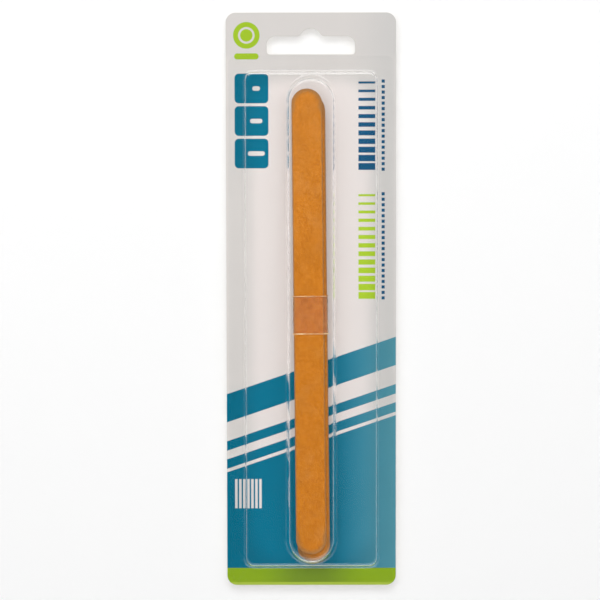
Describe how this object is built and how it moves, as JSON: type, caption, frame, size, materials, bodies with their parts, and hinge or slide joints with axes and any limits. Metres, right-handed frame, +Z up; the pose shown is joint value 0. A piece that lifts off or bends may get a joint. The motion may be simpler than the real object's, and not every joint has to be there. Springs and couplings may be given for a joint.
{
  "type": "emery board pack",
  "caption": "Hang card with a clear drawn blister holding a film-banded stack of slim, round-ended emery boards, coarse grit on one face and fine on the other.",
  "frame": {"origin": "middle of the hang slot's upper edge, on the card's back face, where a shop peg carries the pack", "axes": "+Z up the pack as it hangs, +Y out of the card's plain back towards the wall, +X across it; the printed face and the blister look to -Y"},
  "size_m": [0.065, 0.0087, 0.22],
  "materials": {
    "printed_card": "satin",
    "clear_sheet": "gloss",
    "amber_film": "gloss",
    "board_core": "matte",
    "coarse_grit": "matte",
    "fine_grit": "matte"
  },
  "bodies": {
    "pack": {"card": "printed_card", "blister": "clear_sheet"},
    "film_band": {"film_band": "amber_film"},
    "board_1": {"board_1_coarse_paper": "coarse_grit", "board_1_core": "board_core", "board_1_fine_paper": "fine_grit"},
    "board_2": {"board_2_coarse_paper": "coarse_grit", "board_2_core": "board_core", "board_2_fine_paper": "fine_grit"},
    "board_3": {"board_3_coarse_paper": "coarse_grit", "board_3_core": "board_core", "board_3_fine_paper": "fine_grit"},
    "board_4": {"board_4_coarse_paper": "coarse_grit", "board_4_core": "board_core", "board_4_fine_paper": "fine_grit"},
    "board_5": {"board_5_coarse_paper": "coarse_grit", "board_5_core": "board_core", "board_5_fine_paper": "fine_grit"},
    "board_6": {"board_6_coarse_paper": "coarse_grit", "board_6_core": "board_core", "board_6_fine_paper": "fine_grit"},
    "board_7": {"board_7_coarse_paper": "coarse_grit", "board_7_core": "board_core", "board_7_fine_paper": "fine_grit"}
  },
  "joints": [
    {"name": "film_band_slide", "type": "slide", "parent": "pack", "child": "film_band", "axis": [-0.0092, 0, 1], "range_m": [-0.076, 0.0738]},
    {"name": "board_1_slide", "type": "slide", "parent": "pack", "child": "board_1", "axis": [-0.0092, 0, 1], "range_m": [-0.0019, 0.0021]},
    {"name": "board_2_slide", "type": "slide", "parent": "pack", "child": "board_2", "axis": [-0.0092, 0, 1], "range_m": [0, 0.0054]},
    {"name": "board_3_slide", "type": "slide", "parent": "pack", "child": "board_3", "axis": [-0.0092, 0, 1], "range_m": [0, 0.0062]},
    {"name": "board_4_slide", "type": "slide", "parent": "pack", "child": "board_4", "axis": [-0.0092, 0, 1], "range_m": [0, 0.0069]},
    {"name": "board_5_slide", "type": "slide", "parent": "pack", "child": "board_5", "axis": [-0.0092, 0, 1], "range_m": [0, 0.0077]},
    {"name": "board_6_slide", "type": "slide", "parent": "pack", "child": "board_6", "axis": [-0.0092, 0, 1], "range_m": [0, 0.0086]},
    {"name": "board_7_slide", "type": "slide", "parent": "pack", "child": "board_7", "axis": [-0.0092, 0, 1], "range_m": [0, 0.0098]}
  ]
}
